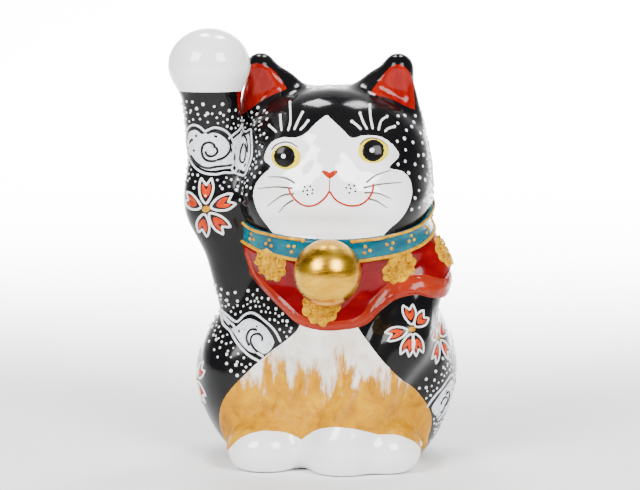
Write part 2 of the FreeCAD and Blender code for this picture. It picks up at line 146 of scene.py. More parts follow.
def feet(p):
    return np.minimum(ellipsoid(p, (-28.5, -31, 9), (17, 16, 13)), ellipsoid(p, (25, -31, 9), (16.5, 16, 13)))


def tail(p):
    return join(cone(p, (9, 37, 13), (1, 42, 32), 11, 10), cone(p, (1, 42, 32), (-3, 43, 56), 10, 8.5), 8)


COLLAR_CENTRE = np.array([0.0, -2.0, 111.0])
COLLAR_TILT = math.radians(17.0)
COLLAR_AXIS = np.array([0.0, -math.sin(COLLAR_TILT), math.cos(COLLAR_TILT)])
COLLAR_HALF = 4.75
COLLAR_RELIEF = 1.2


def above_collar(p):
    return (p - COLLAR_CENTRE) @ COLLAR_AXIS


def bare(p):
    """The whole clay form without the collar."""
    head = joined(skull(p), (ear(p, -1), 7), (ear(p, 1), 7))
    return joined(trunk(p), (head, 8), (lowered_arm(p), 7), (feet(p), 5), (raised_arm(p), 4), (tail(p), 4))


def neck(p):
    """The outside of the collar, before it's cut to a band."""
    return join(skull(p), trunk(p), 8) - COLLAR_RELIEF


def collar(p):
    return common(neck(p), np.abs(above_collar(p)) - COLLAR_HALF, 0.8)


VENT_BACK, VENT_RADIUS, VENT_DEPTH = 24.0, 7.0, 8.0


def form(p):
    clay = common(join(bare(p), collar(p), 0.4), -p[:, 2], 2.0)
    vent = common(np.hypot(p[:, 0], p[:, 1] - VENT_BACK) - VENT_RADIUS, p[:, 2] - VENT_DEPTH, 1.0)
    return common(clay, -vent, 1.0)


# ---- outlines and painted regions ----------------------------------------------------------------
CURVE_STEPS = 6                   # points drawn from each of a curve's points to its next


def curve(points, closed=True):
    """A smooth line through points; a point given twice running is a corner."""
    pts = np.array(points, float)
    n = len(pts)
    out = []
    for i in range(n if closed else n - 1):
        a, b, c, d = (pts[(i + k) % n] if closed else pts[min(max(i + k, 0), n - 1)] for k in (-1, 0, 1, 2))
        if np.allclose(b, c):
            continue
        t = np.linspace(0, 1, CURVE_STEPS, endpoint=False)[:, None]
        out.append(0.5 * (2 * b + (c - a) * t + (2 * a - 5 * b + 4 * c - d) * t ** 2
                          + (3 * b - a - 3 * c + d) * t ** 3))
    if not closed:
        out.append(pts[-1:])
    return np.concatenate(out)


FAR = -2.5                        # distance given to places well outside an outline
BATCH = 20000                     # places worked on at a time, to keep the memory small


def inside(q, outline, far=FAR):
    """Signed distance to a closed outline in the plane, positive inside, and far well outside it."""
    a, b = outline, np.roll(outline, -1, axis=0)
    everything = np.full(len(q), far)
    close = np.nonzero(((q > a.min(0) + far) & (q < a.max(0) - far)).all(1))[0]
    q = q[close]
    result = np.empty(len(q))
    for first in range(0, len(q), BATCH):
        x = q[first:first + BATCH, None, :]
        along = b - a
        t = np.clip(((x - a) * along).sum(2) / (along * along).sum(1), 0, 1)
        gap = np.sqrt(((x - a - t[:, :, None] * along) ** 2).sum(2).min(1))
        below, above = a[:, 1] <= x[:, :, 1], b[:, 1] > x[:, :, 1]
        side = along[:, 0] * (x[:, :, 1] - a[:, 1]) - along[:, 1] * (x[:, :, 0] - a[:, 0])
        turns = (below & above & (side > 0)).sum(1) - (~below & ~above & (side < 0)).sum(1)
        result[first:first + BATCH] = np.where(turns != 0, gap, -gap)
    everything[close] = result
    return everything


FACE = curve([(-1, 159.5), (-1, 159.5), (-5.5, 156), (-10, 151.5), (-14.5, 149.5), (-20, 149.5),
    (-25, 147.5), (-28, 143), (-28.5, 139), (-25.5, 136.5), (-29.5, 132.5), (-32.5, 128.5), (-33.5, 123.5),
    (-32, 118), (-29, 112.5), (-23, 105), (-12, 97), (0, 93), (12, 97), (22, 104), (27, 109), (32, 113.5),
    (35.5, 119), (37, 125), (36, 130.5), (32.5, 134.5), (27, 136.5), (31, 141), (29, 145.5), (25, 149),
    (20.5, 150.5), (15, 150.5), (10.5, 149.5), (6.5, 153)])
BIB = curve([(0, 122), (34, 122), (62, 112), (64, 92), (54, 76), (46, 77), (39, 79), (30, 77), (23.5, 72.5),
    (16, 66), (3, 64), (-6, 64.5), (-14, 67), (-21.5, 73), (-29.5, 79.5), (-36.5, 86), (-39.5, 94),
    (-42, 102), (-42, 112), (-32, 122)])
BELLY = curve([(-11, 71), (0, 73), (11, 71), (13.5, 65), (17.5, 59.5), (25.5, 50.5), (32.5, 43), (40, 34.5),
    (44.5, 27), (46, 20), (44.5, 12), (39, -2), (0, -4), (-42, -2), (-49, 8), (-51, 18), (-48.5, 29),
    (-41, 39), (-29, 50.5), (-17, 60.5), (-13, 65)])
FEET = curve([(-48, -4), (-46, 6), (-42.5, 12), (-38, 16), (-32, 18.5), (-27, 19), (-21, 18.5), (-15.5, 17),
    (-11.5, 15), (-11.5, 15), (-8, 18), (-3, 21), (4, 22.7), (12, 22.2), (18, 20.5), (23, 18.5), (23, 18.5),
    (30.5, 18), (36, 16), (39.5, 13.5), (42, 8), (43, -4)])
EAR_LININGS = {
    -1: curve([(-34.5, 181), (-27, 178), (-20.5, 169.5), (-20.5, 169.5), (-31, 164.7), (-37, 160.5),
        (-41, 157.5), (-41, 157.5), (-42, 165), (-41, 172), (-38.5, 178)]),
    1: curve([(31, 180.5), (34.5, 177.5), (36.5, 171), (37.3, 160), (37.3, 160), (32, 162.5), (25.5, 165.5),
        (17, 167.5), (17, 167.5), (20, 172), (24, 177.3), (27.5, 180.2)])}
PAW_LINE = 169.0                  # the height where the white paw begins
PATCH_EDGE, FEET_EDGE, EAR_EDGE = -8.0, -14.0, 2.5    # how far back the face and belly, feet and linings go
BIB_BACK, HEM_TOP = 12.0, 97.0
HEM_WIDTH, HEM_GAIN = 4.2, 4.3    # the hem's width, and what it gains away from the raised arm
BIB_RELIEF, HEM_RELIEF, BELLY_RELIEF = 1.0, 0.5, 0.5
SEAT_RELIEF, SEAT_WIDTH = 2.0, 2.6    # the bib's swelling around the bell
SHOULDER_ROLL = 2.2               # how far the hem swells over the shoulder of the lowered arm


def front(p):
    """The picture plane seen from straight in front."""
    return p[:, [0, 2]]


def in_bib(p):
    chest = np.minimum(trunk(p), lowered_arm(p))
    return np.minimum.reduce([inside(front(p), BIB), BIB_BACK - p[:, 1], 0.5 - above_collar(p),
                              raised_arm(p) - chest])


def in_bib_rim(p):
    """The bib's paler rolled hem, wider on the side away from the raised paw."""
    hem = HEM_WIDTH + HEM_GAIN * step_up(p[:, 0] - 8, 24)
    return np.minimum.reduce([in_bib(p), hem - inside(front(p), BIB, -10.0), HEM_TOP - p[:, 2]])


def in_belly(p):
    return np.minimum.reduce([inside(front(p), BELLY), PATCH_EDGE - p[:, 1], -in_bib(p)])


def in_feet(p):
    return np.minimum(inside(front(p), FEET), FEET_EDGE - p[:, 1])


def in_raised_paw(p):
    return np.minimum(p[:, 2] - PAW_LINE, np.minimum(skull(p), ear(p, -1)) - raised_arm(p))


def in_face(p):
    return np.minimum.reduce([inside(front(p), FACE), PATCH_EDGE - p[:, 1], above_collar(p)])


def in_ear(side):
    return lambda p: np.minimum(inside(front(p), EAR_LININGS[side]), EAR_EDGE - p[:, 1])


def in_collar(p):
    return bare(p) - collar(p)


def in_underside(p):
    return 0.25 - p[:, 2]


def step_up(s, width):
    """0 outside a region's edge, 1 further in than the width, smooth between."""
    t = np.clip(s / width, 0, 1)
    return t * t * (3 - 2 * t)


def grain(p, size, seed):
    """Smooth noise about 0, from sums of turned sine waves."""
    rng = np.random.default_rng(seed)
    total = np.zeros(len(p))
    for _ in range(12):
        wave = rng.normal(size=3)
        wave *= rng.uniform(0.6, 1.6) * 2 * math.pi / size / np.linalg.norm(wave)
        total += np.sin(p @ wave + rng.uniform(0, 2 * math.pi) + 1.5 * np.sin(p @ np.roll(wave, 1) * 0.7))
    return total / 4.0


def surface(p):
    """The finished surface: the clay with the moulded bib and the brushed enamel of the belly."""
    cloth = np.minimum(in_bib(p), -COLLAR_HALF - above_collar(p))
    lift = BIB_RELIEF * step_up(cloth, 1.6)
    hem = in_bib_rim(p)
    lift += HEM_RELIEF * step_up(hem, 1.8) * step_up(cloth, 1.5)
    lift += SHOULDER_ROLL * step_up(hem, 4.0) * step_up(p[:, 0] - 28, 14)
    seat = length(p - BELL_CENTRE) - BELL_RADIUS
    lift += SEAT_RELIEF * np.exp(-(seat / SEAT_WIDTH) ** 2) * step_up(cloth, 3.0)
    front_half = p[:, 1] < 0
    if front_half.any():
        q = p[front_half]
        s = np.minimum(in_belly(q), -in_feet(q))
        rough = 1 + 0.45 * grain(q * (1, 1, 0.55), 5.0, 3) + 0.25 * grain(q, 2.2, 4)
        lift[front_half] += BELLY_RELIEF * step_up(s, 1.5) * np.maximum(rough, 0.1)
    return form(p) - lift


PROBE = 0.05                      # step for slopes of a field
LONGEST_MOVE = 0.5                # of a point that settles, at each go


def slope(field, p, e=PROBE):
    steps = np.eye(3) * e
    return np.stack([field(p + d) - field(p - d) for d in steps], 1) / (2 * e)


def settle(p, field, count):
    """Moves points along the slope onto a field's surface."""
    steps = np.eye(3) * PROBE
    for _ in range(count):
        here = field(p)
        g = np.stack([field(p + d) - here for d in steps], 1) / PROBE
        move = (here / np.maximum((g * g).sum(1), 0.05))[:, None] * g
        size = np.linalg.norm(move, axis=1, keepdims=True)
        p = p - move * np.minimum(1.0, LONGEST_MOVE / np.maximum(size, 1e-9))
    return p


# ---- the clay as one mesh, cut along the painted borders ------------------------------------------
def surface_net(field, low, high, step):
    """Quads around a field's surface, one vertex in each grid cell that it passes through."""
    block = 5                         # only blocks of cells near the surface are worked out cell by cell
    counts = [math.ceil((b - a) / (step * block)) * block for a, b in zip(low, high)]
    axes = [a + step * np.arange(n) for a, n in zip(low, counts)]
    shape = tuple(counts)
    middles = np.stack(np.meshgrid(*(a[block // 2::block] for a in axes), indexing="ij"), -1)
    rough = field(middles.reshape(-1, 3)).reshape(middles.shape[:3])
    spread = lambda a: a.repeat(block, 0).repeat(block, 1).repeat(block, 2)
    values = spread(rough).astype(np.float32)
    close = np.nonzero(spread(np.abs(rough) < step * block * 1.6))
    values[close] = field(np.stack([a[k] for a, k in zip(axes, close)], 1))
    corner = lambda a, o: a[tuple(slice(k, n - 1 + k) for k, n in zip(o, shape))]
    offsets = [(i, j, k) for i in (0, 1) for j in (0, 1) for k in (0, 1)]
    cells = tuple(n - 1 for n in shape)
    total, count = np.zeros(cells + (3,), np.float32), np.zeros(cells, np.int32)
    for a in offsets:
        for axis in range(3):
            if a[axis]:
                continue
            b = tuple(1 if k == axis else v for k, v in enumerate(a))
            va, vb = corner(values, a), corner(values, b)
            crossing = (va < 0) != (vb < 0)
            t = np.where(crossing, va / np.where(crossing, va - vb, 1), 0)
            for k in range(3):
                total[..., k] += np.where(crossing, a[k] + (t if k == axis else 0), 0)
            count += crossing
    used = count > 0
    index = np.full(cells, -1, np.int64)
    index[used] = np.arange(used.sum())
    points = total[used] / count[used][:, None] + np.stack(np.nonzero(used), 1)
    points = points * step + np.array([a[0] for a in axes])
    quads = []
    for axis in range(3):
        u, w = (axis + 1) % 3, (axis + 2) % 3
        lo = [slice(1, n - 1) for n in shape]
        lo[axis] = slice(0, shape[axis] - 1)
        hi = list(lo)
        hi[axis] = slice(1, shape[axis])
        here, there = values[tuple(lo)] < 0, values[tuple(hi)] < 0
        where = np.stack(np.nonzero(here != there), 1)
        flip = here[tuple(where.T)]
        base = where + np.array([1 if k != axis else 0 for k in range(3)])
        ring = []
        for du, dw in ((0, 0), (-1, 0), (-1, -1), (0, -1)):
            cell = base.copy()
            cell[:, u] += du
            cell[:, w] += dw
            ring.append(index[tuple(cell.T)])
        quad = np.stack(ring, 1)
        quad[~flip] = quad[~flip][:, ::-1]
        quads.append(quad)
    return points, np.concatenate(quads)


def triangles(points, quads):
    """Splits quads along their shorter diagonal."""
    d1 = np.linalg.norm(points[quads[:, 0]] - points[quads[:, 2]], axis=1)
    d2 = np.linalg.norm(points[quads[:, 1]] - points[quads[:, 3]], axis=1)
    short = (d1 <= d2)[:, None]
    first = np.where(short, quads[:, [0, 1, 2]], quads[:, [0, 1, 3]])
    second = np.where(short, quads[:, [0, 2, 3]], quads[:, [1, 2, 3]])
    return np.concatenate([first, second])


def cut(points, tris, region, near=0.12):
    """Cuts triangles where region changes sign, and points nearer to its border count as on it.

    Returns points, triangles and which of them lie inside."""
    s = region(points)
    s[np.abs(s) < near] = 0.0
    side = np.sign(s).astype(int)
    t = side[tris]
    crossed = (t.min(1) < 0) & (t.max(1) > 0)
    keep = tris[~crossed]
    keep_in = side[keep].sum(1) > 0
    work = tris[crossed]
    if not len(work):
        return points, tris, keep_in
    lone = np.zeros(len(work), int)
    ws = side[work]
    for k in range(3):
        others = np.delete(ws, k, axis=1)
        lone = np.where((ws[:, k, None] * others < 0).all(1), k, lone)
    has_zero = (ws == 0).any(1)
    zero_at = np.argmax(ws == 0, axis=1)
    first = np.where(has_zero, zero_at, lone)
    work = np.stack([work[np.arange(len(work)), (first + k) % 3] for k in range(3)], 1)

    def edge_points(pairs):
        low, high = pairs.min(1), pairs.max(1)
        keys, back = np.unique(low * len(points) + high, return_inverse=True)
        a, b = keys // len(points), keys % len(points)
        f = (s[a] / (s[a] - s[b]))[:, None]
        return points[a] + f * (points[b] - points[a]), back

    z, o = work[has_zero], work[~has_zero]
    pairs = np.concatenate([z[:, [1, 2]], o[:, [0, 1]], o[:, [0, 2]]])
    extra, back = edge_points(pairs)
    back = back + len(points)
    nz, no = len(z), len(o)
    mz, m1, m2 = back[:nz], back[nz:nz + no], back[nz + no:]
    halves = [(z[:, 0], z[:, 1], mz), (z[:, 0], mz, z[:, 2])]
    thirds = [(o[:, 0], m1, m2), (m1, o[:, 1], o[:, 2]), (m1, o[:, 2], m2)]
    new = [np.stack(corners, 1) for corners in halves + thirds]
    new_in = [side[q] > 0 for q in (z[:, 1], z[:, 2], o[:, 0], o[:, 1], o[:, 1])]
    return np.concatenate([points, extra]), np.concatenate([keep] + new), np.concatenate([keep_in] + new_in)


GRID_LOW, GRID_HIGH, GRID_STEP = (-78, -62, -3), (62, 60, 202), 1.0
# The painted regions in the order that they are cut out: an earlier one wins where two overlap. Each has its
# field, its slot, the CAD nodes that it replaces, and its material where that isn't the slot's.
REGIONS = {"underside": (in_underside, "biscuit", ("base_slab",)),
           "collar_band": (in_collar, "turquoise_enamel", ("collar",)),
           "bib_hem": (in_bib_rim, "red_enamel", (), "hem_red"),
           "bib_cloth": (in_bib, "red_enamel", ("bib",)),
           "paws_white": (in_feet, "white_porcelain", ("right_foot", "left_foot")),
           "belly_mountain": (in_belly, "ochre_enamel", ("belly_relief",)),
           "raised_paw_white": (in_raised_paw, "white_porcelain", ("raised_paw",)),
           "face_white": (in_face, "white_porcelain", ()),
           "right_ear_lining": (in_ear(-1), "ear_red", ("ear_linings",)),
           "left_ear_lining": (in_ear(1), "ear_red", ())}
BLACK = ("black_glaze", ("body_casting", "head_casting", "raised_arm", "right_ear", "left_ear", "tail",
                         "lowered_arm"))


def clay_pieces():
    """The surface cut into its painted regions: name to points and triangles."""
    points, quads = surface_net(form, GRID_LOW, GRID_HIGH, GRID_STEP)
    points = settle(points, form, 2)
    tris = triangles(points, quads)
    label = np.zeros(len(tris), int)
    for number, (region, *_) in enumerate(REGIONS.values(), 1):
        open_part = label == 0
        done, done_label = tris[~open_part], label[~open_part]
        points, fresh, is_in = cut(points, tris[open_part], region)
        tris = np.concatenate([done, fresh])
        label = np.concatenate([done_label, np.where(is_in, number, 0)])
    points = settle(points, surface, 5)
    names = ["black_glaze_body", *REGIONS]
    return {name: (points, tris[label == number]) for number, name in enumerate(names)}


# ---- glaze and enamel materials -------------------------------------------------------------------
MATERIALS = {}


class Shader:
    """A Principled material, kept in MATERIALS by its name, with helpers that add and link nodes."""
    def __init__(self, name, roughness, sheen=0.35, metallic=0.0):
        self.material = MATERIALS[name] = bpy.data.materials.new(name)
        self.material.use_nodes = True
        self.tree = self.material.node_tree
        self.main = self.tree.nodes["Principled BSDF"]
        self.put(self.main, "Roughness", roughness)
        self.put(self.main, "Specular IOR Level", sheen)
        self.put(self.main, "Metallic", metallic)
        self.place = self.add("ShaderNodeTexCoord").outputs["Object"]

    def add(self, kind, **settings):
        node = self.tree.nodes.new(kind)
        for key, value in settings.items():
            setattr(node, key, value)
        return node

    def put(self, node, socket, value):
        if isinstance(value, bpy.types.NodeSocket):
            self.tree.links.new(value, node.inputs[socket])
        else:
            node.inputs[socket].default_value = value

    def stretch(self, scale):
        """The object's place, scaled along each axis."""
        node = self.add("ShaderNodeMapping")
        self.put(node, "Vector", self.place)
        self.put(node, "Scale", scale)
        return node.outputs["Vector"]

    def noise(self, size_mm, detail, roughness=0.55, stretch=(1, 1, 1), distortion=0.0):
        node = self.add("ShaderNodeTexNoise")
        self.put(node, "Vector", self.stretch(tuple(1000.0 / size_mm / k for k in stretch)))
        settings = {"Scale": 1.0, "Detail": detail, "Roughness": roughness, "Distortion": distortion}
        for socket, value in settings.items():
            self.put(node, socket, value)
        return node.outputs["Fac"]

    def height(self):
        node = self.add("ShaderNodeSeparateXYZ")
        self.put(node, "Vector", self.place)
        return node.outputs["Z"]

    def math(self, operation, a, b=0.0, c=0.0, clamp=False):
        node = self.add("ShaderNodeMath", operation=operation, use_clamp=clamp)
        for i, value in enumerate((a, b, c)):
            self.put(node, i, value)
        return node.outputs[0]

    def ramp(self, factor, *stops):
        node = self.add("ShaderNodeValToRGB")
        self.put(node, "Fac", factor)
        elements = node.color_ramp.elements
        while len(elements) < len(stops):
            elements.new(0.5)
        for element, (at, colour) in zip(elements, stops):
            element.position = at
            element.color = (*colour, 1.0)
        return node.outputs["Color"]

    def mix(self, factor, a, b):
        node = self.add("ShaderNodeMix", data_type="RGBA")
        self.put(node, "Factor", factor)
        self.put(node, 6, a)          # the inputs and the output that are colours
        self.put(node, 7, b)
        return node.outputs[2]

    def bump(self, height, depth_mm):
        node = self.add("ShaderNodeBump")
        self.put(node, "Distance", depth_mm * MM)
        self.put(node, "Height", height)
        self.put(self.main, "Normal", node.outputs["Normal"])

    def colour(self, value):
        self.put(self.main, "Base Color", value if isinstance(value, bpy.types.NodeSocket) else (*value, 1.0))
        return self.material


def mottled(name, roughness, sheen, bump, noise, *stops):
    """A glaze whose colour wanders through the stops; bump is its noise's size and detail, and its depth."""
    m = Shader(name, roughness, sheen)
    m.bump(m.noise(*bump[:2]), bump[2])
    m.colour(m.ramp(m.noise(*noise), *stops))


def black_glaze():
    m = Shader("black_glaze", 0.07, 0.2)
    m.put(m.main, "Roughness", m.ramp(m.noise(14, 3), (0.3, (0.08,) * 3), (0.75, (0.18,) * 3)))
    m.bump(m.noise(9, 2), 0.05)
    m.colour(m.ramp(m.noise(20, 5), (0.3, (0.002, 0.002, 0.003)), (0.7, (0.006, 0.006, 0.006))))


def ochre():
    """Off-white enamel brushed over with ochre in ragged strokes that thin out towards the top."""
    top, fade = 52.0, 34.0        # heights in mm: where the ochre ends, and the stretch it thins out over
    m = Shader("ochre_enamel", 0.35, 0.1)
    strokes = m.noise(7, 6, 0.7, stretch=(0.8, 1, 4.5))
    level = m.math("MULTIPLY_ADD", m.height(), -1 / (fade * MM), top / fade)
    amount = m.math("ADD", level, m.math("MULTIPLY_ADD", strokes, 2.2, -1.1))
    patches = m.noise(9, 6, 0.65, distortion=0.6)
    gold = m.ramp(patches, (0.28, (0.30, 0.11, 0.0)), (0.5, (0.50, 0.215, 0.0)), (0.75, (0.66, 0.34, 0.0)))
    white = m.ramp(m.noise(8, 4), (0.3, (0.66, 0.60, 0.50)), (0.65, (0.86, 0.83, 0.78)))
    m.bump(m.noise(3.2, 5, 0.7), 0.35)
    m.colour(m.mix(m.math("MULTIPLY_ADD", amount, 3.5, -0.2, clamp=True), white, gold))


def gold_lustre():
    m = Shader("gold_lustre", 0.28, metallic=1.0)
    brushed = m.noise(5, 6, 0.6, stretch=(3.0, 3.0, 0.7), distortion=0.4)
    m.put(m.main, "Roughness", m.ramp(brushed, (0.3, (0.22,) * 3), (0.7, (0.36,) * 3)))
    m.bump(m.noise(4, 5, 0.6, stretch=(2.5, 2.5, 0.8)), 0.12)
    m.colour(m.ramp(brushed, (0.3, (0.48, 0.22, 0.008)), (0.55, (0.66, 0.36, 0.02)),
                    (0.8, (0.82, 0.52, 0.06))))


black_glaze()
ochre()
gold_lustre()
mottled("white_porcelain", 0.1, 0.9, (16, 2, 0.06), (30, 3),
        (0.3, (0.88, 0.89, 0.90)), (0.7, (0.93, 0.93, 0.92)))
mottled("red_enamel", 0.12, 0.2, (7, 3, 0.05), (12, 6, 0.6, (2.2, 1, 0.8)),
        (0.3, (0.09, 0.0, 0.001)), (0.55, (0.16, 0.0, 0.002)), (0.8, (0.26, 0.006, 0.003)))
mottled("hem_red", 0.13, 0.2, (7, 3, 0.05), (12, 6, 0.6, (2.2, 1, 0.8)),
        (0.3, (0.20, 0.010, 0.003)), (0.6, (0.27, 0.020, 0.006)), (0.85, (0.34, 0.036, 0.008)))
mottled("ear_red", 0.14, 0.2, (6, 3, 0.05), (7, 6, 0.65, (0.8, 1, 2.2)),
        (0.35, (0.17, 0.001, 0.001)), (0.6, (0.29, 0.006, 0.001)), (0.8, (0.44, 0.04, 0.002)))
mottled("turquoise_enamel", 0.12, 0.2, (5, 3, 0.05), (6, 5, 0.6, (2.5, 1, 0.8)),
        (0.3, (0.0, 0.04, 0.07)), (0.6, (0.0, 0.10, 0.14)), (0.85, (0.0, 0.19, 0.23)))
mottled("biscuit", 0.8, 0.35, (1.2, 4, 0.06), (10, 5),
        (0.3, (0.60, 0.53, 0.44)), (0.7, (0.72, 0.66, 0.57)))
mottled("yellow_enamel", 0.25, 0.1, (1.6, 4, 0.1), (4, 5),
        (0.3, (0.33, 0.13, 0.0)), (0.55, (0.56, 0.28, 0.0)), (0.8, (0.74, 0.44, 0.0)))
# the slip of the clouds is white, brushed thinly, so that the black shows through in streaks
mottled("cloud_white", 0.25, 0.35, (2.5, 4, 0.08), (3.2, 6, 0.7, (1, 1, 1.6), 1.2),
        (0.32, (0.34, 0.38, 0.44)), (0.46, (0.66, 0.69, 0.73)), (0.75, (0.86, 0.87, 0.88)))
mottled("white_slip", 0.3, 0.35, (1.5, 3, 0.05), (5, 4),
        (0.3, (0.68, 0.69, 0.70)), (0.7, (0.85, 0.85, 0.85)))


def line_colour(name, dark, light, roughness=0.2):
    """The enamels that the fine lines and small fills are painted with."""
    mottled(name, roughness, 0.15, (1.5, 3, 0.04), (3, 4), (0.3, dark), (0.7, light))


line_colour("orange_enamel", (0.38, 0.012, 0.0), (0.56, 0.045, 0.0))
line_colour("mouth_red", (0.30, 0.012, 0.003), (0.42, 0.03, 0.006))
line_colour("eye_yellow", (0.66, 0.50, 0.0), (0.82, 0.66, 0.0))
line_colour("eye_black", (0.003, 0.003, 0.004), (0.008, 0.007, 0.007), 0.12)
line_colour("brown_line", (0.07, 0.05, 0.035), (0.13, 0.095, 0.07))


# ---- pieces ---------------------------------------------------------------------------------------
def add_object(name, data):
    thing = bpy.data.objects.new(name, data)
    bpy.context.scene.collection.objects.link(thing)
    return thing


def smooth_mesh(name, points, faces, material):
    mesh = bpy.data.meshes.new(name)
    mesh.from_pydata(points, [], faces)
    mesh.materials.append(material)
    mesh.polygons.foreach_set("use_smooth", [True] * len(mesh.polygons))
    mesh.update()
    return add_object(name, mesh)


def piece(name, points, faces, slot, replaced, material=None):
    """A mesh object from millimetre points, riding on the figurine's one body."""
    used = np.unique(np.concatenate([np.ravel(f) for f in faces]) if isinstance(faces, list) else faces)
    renumber = np.zeros(len(points), int)
    renumber[used] = np.arange(len(used))
    faces = [tuple(int(renumber[i]) for i in f) for f in faces]
    thing = smooth_mesh(name, (points[used] * MM).tolist(), faces, MATERIALS[material or slot])
    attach(thing, "root")
    if replaced:
        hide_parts(*replaced)


def outward(points, tris):
    """Turns triangles so that their normals point out of the clay."""
    a, b, c = (points[tris[:, k]] for k in range(3))
    normal = np.cross(b - a, c - a)
    flip = (normal * slope(form, (a + b + c) / 3)).sum(1) < 0
    tris = tris.copy()
    tris[flip] = tris[flip][:, ::-1]
    return tris


for name, (points, tris) in clay_pieces().items():
    slot_and_nodes = REGIONS[name][1:] if name in REGIONS else BLACK
    piece(name, points, outward(points, tris), *slot_and_nodes)
    if name not in REGIONS:
        BLACK_PLACES = points[np.unique(tris)]


# ---- raised enamel --------------------------------------------------------------------------------
def normals(p):
    g = slope(form, p, 0.2)
    return g / np.linalg.norm(g, axis=1, keepdims=True)


def land(p, field=form):
    """One step onto the field's surface; returns the places and the outward normals there."""
    here = field(p)
    g = np.stack([field(p + d) - here for d in np.eye(3) * 0.1], 1) / 0.1
    steep = (g * g).sum(1, keepdims=True)
    return p - here[:, None] * g / np.maximum(steep, 0.1), g / np.sqrt(np.maximum(steep, 1e-9))


class Patch:
    """A table of places on the surface over a rectangle of (u, v) millimetres, read by interpolation."""
    STEP = 0.8

    def __init__(self, low, high, field=form):
        self.low = np.array(low, float)
        self.count = np.ceil((np.array(high) - self.low) / self.STEP).astype(int) + 2
        grid = np.stack(np.meshgrid(*(np.arange(n) for n in self.count), indexing="ij"), -1).reshape(-1, 2)
        p = self.trace(self.low + grid * self.STEP)
        for _ in range(3):
            p, n = land(p, field)
        self.table = np.concatenate([p, n], 1).reshape(*self.count, 6)

    def map(self, uv):
        t = np.clip((uv - self.low) / self.STEP, 0, self.count - 1.001)
        a, b = t.astype(int).T
        f, g = (t - np.stack([a, b], 1)).T[:, :, None]
        q = ((1 - f) * (1 - g) * self.table[a, b] + f * (1 - g) * self.table[a + 1, b]
             + (1 - f) * g * self.table[a, b + 1] + f * g * self.table[a + 1, b + 1])
        return q[:, :3], q[:, 3:] / np.linalg.norm(q[:, 3:], axis=1, keepdims=True)


class Front(Patch):
    """Lays (x, z) on the picture plane straight back onto the surface."""
    def trace(self, uv):
        p = np.stack([uv[:, 0], np.full(len(uv), -75.0), uv[:, 1]], 1)
        for _ in range(30):
            p[:, 1] += 0.9 * np.clip(form(p), -1, 20)
        return p


class Spot(Patch):
    """Wraps (u, v) round the surface from a place near guess: u to the right and v up, seen from outside."""
    def __init__(self, guess, turn=0.0, size=1.0, mirror=False, reach=16.0, field=form):
        p = np.array([guess], float)
        for _ in range(12):
            p, n = land(p)
        self.middle, self.out = p, n
        side = np.cross([0.0, 0.0, 1.0], n[0])
        side /= np.linalg.norm(side)
        lift = np.cross(n[0], side)
        c, s = cos_sin(turn)
        self.right, self.up = c * side + s * lift, c * lift - s * side
        self.size = np.array([-size if mirror else size, size])
        super().__init__((-reach, -reach), (reach, reach), field)

    def trace(self, uv):
        uv = uv * self.size
        length = np.linalg.norm(uv, axis=1)
        count = max(2, math.ceil(length.max() / 2.0))
        heading = (uv[:, :1] * self.right + uv[:, 1:] * self.up) / np.maximum(length, 1e-6)[:, None]
        p, n = np.repeat(self.middle, len(uv), 0), np.repeat(self.out, len(uv), 0)
        for _ in range(count):
            heading = heading - (heading * n).sum(1, keepdims=True) * n
            heading /= np.maximum(np.linalg.norm(heading, axis=1, keepdims=True), 1e-6)
            p, n = land(p + heading * (length / count)[:, None])
        return p


def even_line(line, step, closed=False):
    """The line's points spaced evenly."""
    pts = np.concatenate([line, line[:1]]) if closed else line
    lengths = np.concatenate([[0], np.cumsum(np.linalg.norm(np.diff(pts, axis=0), axis=1))])
    count = max(3, round(lengths[-1] / step))
    at = np.linspace(0, lengths[-1], count + 1)
    if closed:
        at = at[:-1]
    return np.stack([np.interp(at, lengths, pts[:, k]) for k in range(2)], 1)


